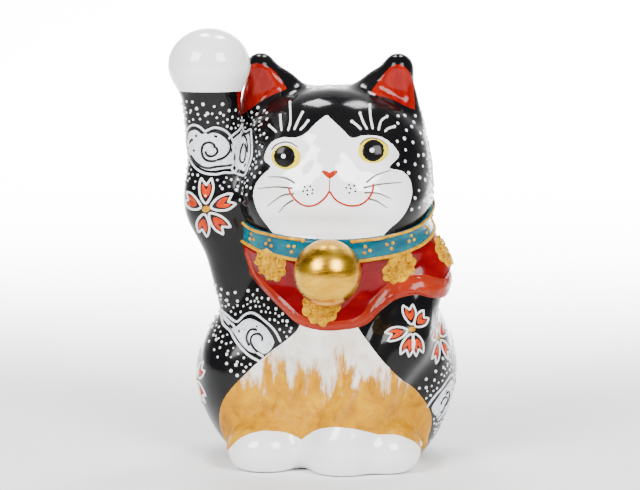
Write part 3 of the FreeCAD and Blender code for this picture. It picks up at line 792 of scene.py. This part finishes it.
class Enamel:
    """Raised enamel of one colour, gathered into one piece."""
    STROKE_STEP, DOME_SIDES = 0.45, 10

    def __init__(self):
        self.points, self.faces, self.total = [], [], 0

    def add(self, points, faces):
        self.points.append(points)
        self.faces += [tuple(int(i) + self.total for i in f) for f in faces]
        self.total += len(points)

    def fill(self, place, outline, height, edge=0.6, spacing=0.55, bumps=None):
        """A pad over a closed outline, rounded down at its edge."""
        ring = even_line(outline, spacing * 0.8, closed=True)
        low, high = ring.min(0), ring.max(0)
        grid = np.stack(np.meshgrid(*(np.arange(a, b, spacing) for a, b in zip(low, high))), -1)
        grid[1::2, :, 0] += spacing / 2
        grid = grid.reshape(-1, 2)
        grid = grid[inside(grid, ring) > spacing * 0.45]
        uv = np.concatenate([ring, grid])
        edges = [(i, (i + 1) % len(ring)) for i in range(len(ring))]
        verts, _, faces, *_ = delaunay_2d_cdt([tuple(q) for q in uv], edges, [], 1, 1e-5)
        uv = np.array([tuple(v) for v in verts])
        depth = np.maximum(inside(uv, ring), 0)
        lift = height * np.sqrt(np.clip(1 - (1 - np.minimum(depth / edge, 1)) ** 2, 0, 1)) - 0.06
        if bumps is not None:
            lift += bumps(uv) * np.minimum(depth / edge, 1)
        p, n = place.map(uv)
        self.add(p + n * lift[:, None], faces)

    def stroke(self, place, line, width, height, closed=False, taper=0.0):
        """A bead of enamel along a line, round across and at its ends; taper thins it towards its end."""
        line = even_line(line, self.STROKE_STEP, closed)
        if closed:
            line = np.concatenate([line, line[:1]])
        along = np.gradient(line, axis=0)
        if closed:
            along[0] = along[-1] = along[0] + along[-1]
        along /= np.maximum(np.linalg.norm(along, axis=1, keepdims=True), 1e-9)
        across = np.stack([-along[:, 1], along[:, 0]], 1)
        run = np.concatenate([[0], np.cumsum(np.linalg.norm(np.diff(line, axis=0), axis=1))])
        half = width / 2 * (1 - taper * run / run[-1])
        if not closed:
            near_end = np.minimum(run, run[-1] - run) / (width / 2)
            half = half * np.sqrt(np.clip(1 - (1 - np.minimum(near_end, 1)) ** 2, 0.02, 1))
        profile = np.array([-1, -0.75, -0.35, 0.35, 0.75, 1])
        uv = line[:, None, :] + across[:, None, :] * (half[:, None] * profile)[:, :, None]
        lift = height * (2 * half / width)[:, None] * np.sqrt(1 - profile ** 2) - 0.05
        p, n = place.map(uv.reshape(-1, 2))
        k = len(profile)
        faces = [(i * k + j, i * k + j + 1, (i + 1) * k + j + 1, (i + 1) * k + j)
                 for i in range(len(line) - 1) for j in range(k - 1)]
        self.add(p + n * lift.reshape(-1, 1), faces)

    def domes(self, centres, out, radii, height=0.6):
        """Round drops: height is in radii."""
        sides = self.DOME_SIDES
        rings = [(1.0, -0.15), (0.93, 0.3), (0.68, 0.72), (0.36, 0.94)]
        side = np.cross(out, np.where(np.abs(out[:, 2:]) < 0.9, [[0, 0, 1.0]], [[1.0, 0, 0]]))
        side /= np.linalg.norm(side, axis=1, keepdims=True)
        other = np.cross(out, side)
        for c, n, a, b, r in zip(centres, out, side, other, radii):
            pts = [c + r * k * (math.cos(t) * a + math.sin(t) * b) + n * r * height * up
                   for k, up in rings for t in angles(sides)]
            faces = [(i * sides + j, i * sides + (j + 1) % sides, (i + 1) * sides + (j + 1) % sides,
                      (i + 1) * sides + j) for i in range(len(rings) - 1) for j in range(sides)]
            top = (len(rings) - 1) * sides
            pts.append(c + n * r * height)
            faces += [(top + j, top + (j + 1) % sides, top + sides) for j in range(sides)]
            self.add(np.array(pts), faces)

    def build(self, name, slot, replaced=None, material=None):
        """One piece, which replaces the CAD node of its own name unless told otherwise."""
        replaced = (name,) if replaced is None else replaced
        piece(name, np.concatenate(self.points), self.faces, slot, replaced, material)


# ---- decoration -----------------------------------------------------------------------------------
def disc(centre, across, tall=None, count=40):
    """A closed oval outline."""
    t = angles(count)
    return np.array(centre) + np.stack([across * np.cos(t), (tall or across) * np.sin(t)], 1)


def turned(points, degrees, move=0.0, size=1.0):
    """Points moved up by some millimetres and then turned about the origin."""
    c, s = cos_sin(degrees)
    pts = np.array(points, float) * size + (0.0, move)
    return pts @ np.array([[c, s], [-s, c]])


# face
FLAT = Front((-36, 112), (37, 168))
irises, pupils, glints, lids = Enamel(), Enamel(), Enamel(), Enamel()
for x, z in ((-18.6, 141.0), (20.0, 144.0)):
    irises.fill(FLAT, disc((x, z), 6.9, 5.6), 0.15)
for x, z in ((-19.2, 141.3), (19.9, 144.1)):
    pupils.fill(FLAT, disc((x, z), 5.0, 4.95), 0.32)
    glints.fill(FLAT, disc((x - 0.4, z + 0.2), 1.3), 0.55, edge=0.8, spacing=0.4)
for line in (
        [(-25.3, 143.8), (-23.6, 145.9), (-21, 147.2), (-18.6, 147.6), (-16.2, 147.1), (-13.3, 145.4)],
        [(14.0, 146.4), (15.5, 148.2), (17.4, 149.2), (19.6, 149.5), (22.4, 148.8), (24.6, 147.4),
        (26.5, 145.4)]):
    lids.stroke(FLAT, curve(line, False), 0.9, 0.2, taper=0.3)
irises.build("eye_irises", "eye_yellow")
pupils.build("eye_pupils", "eye_black")
glints.build("eye_glints", "white_slip")
lids.build("lid_lines", "brown_line")

nose, mouth = Enamel(), Enamel()
NOSE = curve([(1.2, 131.9), (1.2, 131.9), (-1.0, 133.6), (-2.4, 135.2), (-1.6, 135.9), (0, 135.5),
    (1.1, 134.8), (1.1, 134.8), (2.4, 135.6), (4.2, 135.9), (4.8, 135.2), (3.4, 133.5)])
nose.fill(FLAT, NOSE, 0.3, spacing=0.4)
nose.build("nose", "mouth_red")
mouth.stroke(FLAT, np.array([(1.2, 132.2), (1.2, 126.9)]), 0.55, 0.2)
for line in (
        [(1.3, 127.2), (-0.6, 124.1), (-3.8, 121.3), (-7.0, 120.1), (-10.2, 120.3), (-13.4, 122.2),
        (-16.0, 125.2), (-17.2, 128.2)],
        [(1.2, 126.8), (3.4, 123.5), (6.6, 121.3), (10.2, 120.3), (14.2, 120.6), (17.4, 122.6),
        (19.8, 126.2), (20.2, 130)]):
    mouth.stroke(FLAT, curve(line, False), 1.0, 0.3)
mouth.build("mouth_line", "mouth_red")

whiskers, freckles = Enamel(), Enamel()
for line in (
        [(-14.0, 129.8), (-17.2, 131.4), (-20.9, 132.2), (-27, 132)],
        [(-15, 127.7), (-23, 127.9), (-31.8, 126.6)], [(-14.4, 125.4), (-20.2, 124.2), (-27.2, 119)],
        [(-14.7, 122.7), (-18.4, 120.3), (-21.8, 116.4)], [(17, 130.2), (21.1, 133.2), (28, 135.4)],
        [(15.8, 128.1), (23.3, 129.4), (32.8, 129.8)], [(16.2, 126), (22.1, 125.6), (28.2, 122.9)],
        [(17.4, 123.4), (21.7, 122.2), (26.5, 118.8)]):
    whiskers.stroke(FLAT, curve(line, False), 1.0, 0.2, taper=0.55)
for x, z in (
        (-9.8, 128.5), (-7.4, 128.8), (-8.7, 127.0), (-10.5, 126.6), (-6.3, 127.3), (-6.5, 125.8),
        (-8.5, 125.1), (9.7, 129.5), (11.9, 129.1), (8.5, 128.2), (10.4, 128.0), (12.4, 126.7), (9.8, 126.1)):
    freckles.fill(FLAT, disc((x, z), 0.62, count=12), 0.2, spacing=0.35)
whiskers.build("whiskers", "brown_line")
freckles.build("muzzle_dots", "eye_black")

lashes = Enamel()
for line in (
        [(-23.2, 151.4), (-25, 152.6), (-27.2, 154)], [(-21, 152), (-21.7, 155.2), (-22.3, 158.6)],
        [(-18.2, 152.2), (-17.3, 155.6), (-17.6, 159.8), (-18.4, 164)],
        [(-15.4, 152.6), (-13.9, 156.2), (-12, 160.2)], [(-12.8, 152.6), (-11, 154.4), (-9.2, 156.8)],
        [(14.6, 153), (12.4, 155), (10.2, 156.6)], [(17.2, 153), (15.2, 156.2), (13.6, 160)],
        [(19.6, 153), (18.4, 157.6), (17.6, 163.2)],
        [(22, 152.4), (22.4, 154.8), (23.2, 156.8), (25.4, 158.2)],
        [(24.6, 151.8), (26.2, 153.2), (28.8, 153.8)]):
    lashes.stroke(FLAT, curve(line, False), 1.05, 0.5)
    lashes.fill(FLAT, disc(line[-1], 0.72, count=16), 0.6, spacing=0.4)
lashes.build("eyelashes", "white_slip")

# blossoms
PETAL = [(0, 0), (1.5, 1.3), (3.0, 4.2), (3.6, 7.2), (3.1, 9.8), (2.5, 11.4), (2.5, 11.4), (1.3, 9.8),
    (0.2, 8.2), (0.2, 8.2), (-1.3, 9.9), (-2.6, 11.3), (-2.6, 11.3), (-3.4, 8.6), (-3.2, 4.8), (-1.7, 1.5)]
HEART = [(0, 2.2), (0, 2.2), (1.4, 3.6), (2.4, 6.0), (2.3, 8.6), (1.6, 9.1), (0.2, 6.2), (0.2, 6.2),
    (-1.4, 9.0), (-2.2, 8.4), (-2.3, 5.8), (-1.4, 3.5)]
outlines, hearts, middles = Enamel(), Enamel(), Enamel()


def blossom(guess, turn=0.0, size=1.0, petals=(0, 72, 144, 216, 288), width=1.15):
    place = Spot(guess, turn)
    middles.fill(place, turned(disc((0, 0), 2.1 * size, 1.5 * size), 20), 0.8, edge=1.3)
    for angle in petals:
        outlines.stroke(place, turned(curve(PETAL), angle, 2.6 * size, size), width, 0.5, closed=True)
        hearts.fill(place, turned(curve(HEART), angle, 2.6 * size, size), 0.4)


blossom((-55.6, -23.5, 116.4), 0, 1.0, (0, -72, -141, 162, 72))
blossom((37.5, -37.6, 65.0), -6, 0.88, (0, -48, -155, 165, 102), 1.0)
blossom((47.0, -15.5, 57.7), 0, 0.88, width=1.0)
blossom((-2.7, 6.2, 168.8), 20, 0.95)
blossom((-59.3, -4, 36.1), 15, 0.95)
blossom((-24, 45, 78), 10, 1.0)
blossom((28, 42, 58), -12, 1.0)
blossom((8, 40, 140), 0, 1.0)
outlines.build("blossom_outlines", "white_slip")
hearts.build("blossom_petals", "orange_enamel")
middles.build("blossom_hearts", "yellow_enamel")

# clouds
ARM_CLOUD = {
    "fill": [(-13.5, 3.5), (-12.5, 6.5), (-9.6, 8.2), (-7, 8.6), (-4.5, 7.2), (-2.6, 7.5), (0.7, 8.5),
        (4.0, 7.8), (6.8, 5.6), (8.8, 2.4), (9.2, -0.8), (10.6, -4), (11, -6.6), (9.6, -8.4), (5.2, -8.8),
        (0.5, -9.4), (-3.7, -8.8), (-7.3, -7), (-11, -4.6), (-14, -2), (-15.5, 0.8)],
    "rims": [[(-17.5, 1), (-15.5, 5), (-12.6, 8.8), (-8.6, 10.8), (-5.2, 10.2), (-2.8, 8.3), (-2.6, 8.3),
        (1.2, 10), (5.2, 9.2), (8.6, 6.6), (10.6, 3), (11.2, -0.4), (12.4, -3.9), (12.4, -7.8),
        (10.2, -10.4), (5.6, -10.3), (2.0, -11), (-2.8, -10.6), (-6.8, -9.2), (-11, -6.6), (-15, -3.2)]],
    "lines": [[(-2.0, 7.4), (1.2, 8.4), (4.4, 7.3), (7.0, 5.1), (8.6, 2.4), (8.8, 0.1), (7.6, -2.0),
        (5.0, -3.8), (1.9, -4.7)],
        [(1.4, 0.6), (1.5, 1.9), (0.4, 3.1), (-1.4, 3.4), (-3.4, 2.4), (-4.4, 0.1), (-4.1, -2.6),
        (-2.6, -4.5), (-0.1, -5.1), (2.6, -4.8)],
        [(2.0, 1.5), (2.8, -0.5), (1.5, -2.4), (-0.6, -2.9), (-2.2, -2.0), (-2.6, -0.3)],
        [(-11.4, -3.2), (-8.6, -5.4), (-5, -7.4), (-1.6, -8.2), (2.2, -7.6), (6.0, -7.3), (9.6, -7.0)],
        [(-12, 1.4), (-10.6, 3.4), (-8.8, 4.2)], [(-9.3, -0.2), (-8.2, -1.6)], [(-7.8, 5.4), (-6.6, 6.6)],
        [(1.1, 6.4), (3.1, 6.0)], [(-14.2, 0.2), (-12.6, -0.8)]]}
HEAD_CLOUD = {
    "fill": [(-2, 4.6), (0.6, 6.4), (3.6, 7.4), (5.6, 8.6), (6.6, 6.4), (8.8, 5.6), (9.4, 2.2), (9.2, -3.6),
        (6.6, -7.4), (3.6, -10.6), (1, -9), (-1.4, -7.2), (-0.6, -3.2), (-0.4, 1)],
    "rims": [[(-5, 4.4), (-1.4, 7.2), (2.6, 8.9), (6.2, 11), (7.6, 8.2), (10.6, 7), (11.2, 2.4),
        (10.8, -4.4), (7.6, -9.2), (3.6, -12.6), (0.2, -11.2), (-3, -8.8), (-2.2, -3.4), (-2, 1)]],
    "lines": [[(5.2, 3.0), (3.4, 0.9), (1.9, -2.4), (1.8, -5.3), (3.4, -6.1), (5.2, -3.8), (6.2, -0.5),
        (5.6, 2.4)], [(3.7, 5.4), (5.6, 6.4), (7.0, 4.6), (7.6, 1), (7.3, -3)], [(3.4, -8.6), (5.4, -7)]]}
HAUNCH_CLOUD = {
    "fill": [(-24, 12.4), (-17.4, 8.4), (-12.8, 5.8), (-11.2, 4.8), (-8.5, 7.4), (-5.0, 8.7), (-0.5, 7.8),
        (4.2, 5.9), (7.7, 2.9), (10.2, -0.6), (9.4, -3.0), (7.2, -5.6), (4.4, -7.0), (2.2, -5.8),
        (0.6, -6.9), (-2.6, -6.2), (-4.9, -4.5), (-8.3, -1.7), (-11.6, 1.5), (-17.0, 5.9), (-21.9, 9.4)],
    "rims": [],
    "edges": [[(-26, 14.2), (-19.4, 10.6), (-14, 7.7), (-11.4, 7.0), (-10.1, 8.2), (-8.2, 10.2),
        (-4.6, 11.3), (-0.2, 10.3), (4.4, 8.1), (8.7, 5.7), (11.6, 2.8), (13.8, -0.9)],
        [(-26, 13.6), (-20.4, 6.6), (-14.2, 2.6), (-10.8, -1.0), (-6.9, -4.8), (-2.6, -7.9), (-0.1, -9.2),
        (2.8, -10.3)], [(0.4, -5.8), (2.1, -7.0), (4.7, -8.2)]],
    "lines": [[(3.4, -1.4), (3.7, 0.7), (1.6, 2.0), (-0.8, 1.5), (-2.1, -0.3), (-1.8, -2.6), (-0.1, -4.7),
        (1.9, -6.4)], [(0.9, 3.2), (-1.1, 3.9), (-3.3, 3.2), (-4.4, 1.1), (-4.1, -1.4), (-2.4, -3.9)],
        [(-9.3, 3.3), (-8.2, 1.4)], [(-6.5, 3.5), (-5.8, 3.1)], [(-0.2, 5.5), (0.7, 5.0)],
        [(-15.6, 5.6), (-12.6, 3.6)]]}
clouds, swirls = Enamel(), Enamel()


def cloud(motif, guess, turn=0.0, size=1.0, mirror=False):
    place = Spot(guess, turn, size, mirror, reach=27.0 if motif is HAUNCH_CLOUD else 19.0)
    brushwork = lambda q: 0.12 * grain(np.c_[q, q[:, 0] * 0], 5.0, 9)
    clouds.fill(place, curve(motif["fill"]), 0.35, bumps=brushwork)
    for outline in motif["rims"]:
        clouds.stroke(place, curve(outline), 1.1, 0.5, closed=True)
    for line in motif.get("edges", []):
        clouds.stroke(place, curve(line, False), 1.2, 0.5)
    for line in motif["lines"]:
        swirls.stroke(place, curve(line, False), 1.35, 0.7)


cloud(ARM_CLOUD, (-53.2, -24, 142.9))
cloud(HEAD_CLOUD, (-42.5, -18.1, 142.6))
cloud(HAUNCH_CLOUD, (-33.3, -26.5, 58.5))
cloud(HAUNCH_CLOUD, (50, -11, 29), 10, 0.95, mirror=True)
cloud(ARM_CLOUD, (42.5, 9, 133), -8, 0.85, mirror=True)
cloud(ARM_CLOUD, (9, 44, 93), 8, 1.0)
cloud(HAUNCH_CLOUD, (-44, 30, 40), 0, 1.0)
clouds.build("cloud_scrolls", "white_slip", material="cloud_white")
swirls.build("cloud_lines", "black_glaze", ())

# white dots scattered over the black glaze
def scattered(places, spacing, seed):
    """Picks places in a seeded random order, never closer to one another than the spacing."""
    order = np.random.default_rng(seed).permutation(len(places))
    places = places[order]
    free = np.ones(len(places), bool)
    picked = []
    for i in range(len(places)):
        if free[i]:
            picked.append(places[i])
            free &= ((places - places[i]) ** 2).sum(1) > spacing ** 2
    return np.array(picked)


def gap_to(places, others):
    """Distance from each place to the nearest of the others."""
    tree = KDTree(len(others))
    for i, q in enumerate(others):
        tree.insert(q, i)
    tree.balance()
    return np.array([tree.find(q)[2] for q in places])


def on_black(p, gap):
    """Those of the places that lie above the foot in the black glaze, at least the gap from its borders."""
    painted = np.maximum.reduce([region(p) for region, *_ in REGIONS.values()])
    return p[(painted < -gap) & (p[:, 2] > 3)]


dots = Enamel()
glazed = on_black(BLACK_PLACES, 0.9)
near_cloud = gap_to(glazed, np.concatenate(clouds.points))
near_motif = np.minimum(near_cloud, gap_to(glazed, np.concatenate(outlines.points + lashes.points)))
rng = np.random.default_rng(5)
# small dots close to the clouds, and larger and sparser ones further out
for low, high, clear, spacing, radius in ((1.5, 6, 1.5, 2.3, 0.62), (6, 11, 1.8, 3.5, 0.78)):
    ring = glazed[(near_cloud > low) & (near_cloud < high) & (near_motif > clear)]
    spots = scattered(ring, spacing, 2)
    dots.domes(spots, normals(spots), radius * rng.uniform(0.8, 1.15, len(spots)))
cheek = glazed[(glazed[:, 0] > 30) & (abs(glazed[:, 2] - 138) < 21) & (glazed[:, 1] < 12) & (near_motif > 2)
               & (gap_to(glazed, spots) > 3.5)]
spots = scattered(cheek, 4.6, 4)
dots.domes(spots, normals(spots), 0.85 * rng.uniform(0.8, 1.15, len(spots)))
dots.build("white_dots", "white_slip")

# bib medallions, a cluster of little curls each
medals = Enamel()


def medallion(guess, size=1.0, turn=0.0):
    place = Spot(guess, turn, size, reach=8.5, field=surface)
    t = angles(72)
    radius = 6.2 + 0.9 * np.abs(np.cos(4.5 * t)) + 0.15 * np.sin(4 * t + 1)
    medals.fill(place, np.stack([radius * np.cos(t), radius * np.sin(t)], 1), 0.8, edge=1.0,
                bumps=lambda q: 0.22 * grain(np.c_[q, q[:, 0] * 0], 2.4, 12))
    for k in range(9):
        curl = turned(disc((0, 0), 1.25, count=14)[:12], 40 * k) + 5.2 * np.array(cos_sin(40 * k))
        medals.stroke(place, curl, 1.0, 1.9)
    for k in range(4):
        arc = [(0.6, 0.2), (1.6, 1.2), (2.9, 1.0), (3.3, -0.4)]
        medals.stroke(place, turned(curve(arc, False), 90 * k), 1.0, 1.8)


medallion((-26.3, -30, 92.5), 1.24, 10)
medallion((-3.0, -37, 74.6), 1.22)
medallion((30.3, -25.2, 91.4), 1.24, 20)
medallion((51.0, -8.0, 96.5), 1.1)
medals.build("bib_medallions", "yellow_enamel")


# collar trim
class Band:
    """Maps (u, v) onto the collar: u mm round from its front and v mm up across it."""
    RADIUS = 38.0

    def map(self, uv):
        ahead = np.array([0.0, -math.cos(COLLAR_TILT), -math.sin(COLLAR_TILT)])
        turn = uv[:, :1] / self.RADIUS
        ray = np.sin(turn) * np.array([1.0, 0, 0]) + np.cos(turn) * ahead
        start = COLLAR_CENTRE + COLLAR_AXIS * uv[:, 1:]
        reach = np.full(len(uv), 25.0)
        for _ in range(25):
            reach -= 0.8 * np.clip(neck(start + ray * reach[:, None]), -4, 4)
        return land(start + ray * reach[:, None], neck)


BAND = Band()
piping, triplets = Enamel(), Enamel()
wander = lambda u, seed: 0.22 * grain(np.c_[u, u * 0, u * 0], 16.0, seed)
for v, width, height, start, seed in ((4.3, 1.3, 0.85, 11.0, 21), (-4.5, 1.6, 1.0, 9.0, 22)):
    end = 2 * math.pi * Band.RADIUS - start
    u = np.arange(start, end, 1.0)
    piping.stroke(BAND, np.stack([u, v + wander(u, seed)], 1), width, height)
    for place in (start, end):
        knob = disc((place, v), width * 0.8, count=18)
        piping.fill(BAND, knob, height * 1.2, edge=width * 0.7, spacing=0.4)
TRIPLET = [(-1.0, 1.3), (1.6, 1.0), (0.2, -1.2)]
for k, u in enumerate(np.concatenate([np.arange(16, 120, 10.5), np.arange(-16, -110, -10.5)])):
    spots, out = BAND.map(turned(TRIPLET, 50 * (k % 3) - 40) + (u, 0))
    triplets.domes(spots, out, np.full(3, 0.85), 0.75)
piping.build("collar_piping", "yellow_enamel")
triplets.build("collar_dots", "yellow_enamel")

# bell
BELL_ROWS, BELL_SIDES = 64, 128
t = np.linspace(0, math.pi, BELL_ROWS + 1)
turns = angles(BELL_SIDES)
ball = np.stack([np.outer(np.sin(t), np.cos(turns)), np.outer(np.sin(t), np.sin(turns)),
                 np.outer(np.cos(t), np.ones(BELL_SIDES))], -1).reshape(-1, 3)
quads = [(i * BELL_SIDES + j, (i + 1) * BELL_SIDES + j, (i + 1) * BELL_SIDES + (j + 1) % BELL_SIDES,
          i * BELL_SIDES + (j + 1) % BELL_SIDES) for i in range(BELL_ROWS) for j in range(BELL_SIDES)]
piece("bell", BELL_CENTRE + BELL_RADIUS * ball, quads, "gold_lustre", ("bell",))


# ---- stage, light and camera ----------------------------------------------------------------------
def aim(thing, place, target):
    thing.location = place
    thing.rotation_euler = (Vector(target) - Vector(place)).to_track_quat("-Z", "Y").to_euler()


def softbox(name, place, target, size, power, spread):
    light = bpy.data.lights.new(name, "AREA")
    light.spread = math.radians(spread)
    light.shape = "RECTANGLE"
    light.size, light.size_y = size
    light.energy = power
    aim(add_object(name, light), place, target)


def sweep():
    """A pale sheet that lies under the figurine and curves up behind it."""
    bend, back, top = 0.6, 1.1, 2.6
    line = [(-6.0, 0.0), (back, 0.0)]
    for degrees in range(5, 91, 5):
        c, s = cos_sin(degrees)
        line.append((back + bend * s, bend - bend * c))
    line.append((back + bend, top))
    points = [(x, y, z) for y, z in line for x in (-5.0, 5.0)]
    faces = [(2 * i, 2 * i + 1, 2 * i + 3, 2 * i + 2) for i in range(len(line) - 1)]
    smooth_mesh("sweep", points, faces, Shader("sweep_pale", 0.7).colour((0.9, 0.9, 0.9)))


sweep()
world = bpy.data.worlds.new("studio")
bpy.context.scene.world = world
world.use_nodes = True
world.node_tree.nodes["Background"].inputs["Color"].default_value = (1, 1, 1, 1)
world.node_tree.nodes["Background"].inputs["Strength"].default_value = 0.2

CENTRE = (0.0, 0.0, 0.1)          # in metres: what the lamps and, nearly, the camera look at
LAMPS = [("softbox", (0.75, -1.0, 0.85), CENTRE, (0.6, 0.7), 30, 180),
         ("overhead", (0.22, 0.4, 1.15), CENTRE, (0.2, 0.3), 7, 180),
         ("backdrop", (0.9, 0.7, 0.9), (0.1, 1.3, 0.1), (0.4, 0.6), 70, 100)]
for name, (x, y, z), (to_x, to_y, to_z), size, power, spread in LAMPS:
    for side, label in ((-1, "left"), (1, "right")):
        softbox(f"{name}_{label}", (side * x, y, z), (side * to_x, to_y, to_z), size, power, spread)

VIEW_BEARING, VIEW_RISE = 4.0, 7.0         # in degrees
VIEW_DISTANCE, FRAME_WIDTH = 1.1, 0.2931   # in metres: to the figurine, and the picture's width there
LOOK_LEFT, LOOK_DOWN = 0.0060, 0.0023      # in metres: where the camera looks, from the centre
SENSOR = 36.0
camera_data = bpy.data.cameras.new("camera")
camera_data.sensor_width = SENSOR
camera_data.lens = SENSOR * VIEW_DISTANCE / FRAME_WIDTH
camera = add_object("camera", camera_data)
turn_cos, turn_sin = cos_sin(VIEW_BEARING)
rise_cos, rise_sin = cos_sin(VIEW_RISE)
out = np.array([turn_sin * rise_cos, -turn_cos * rise_cos, rise_sin])
right = np.array([turn_cos, turn_sin, 0.0])
target = np.array(CENTRE) - LOOK_LEFT * right + np.array([0, 0, -LOOK_DOWN])
aim(camera, tuple(target + VIEW_DISTANCE * out), tuple(target))
bpy.context.scene.camera = camera
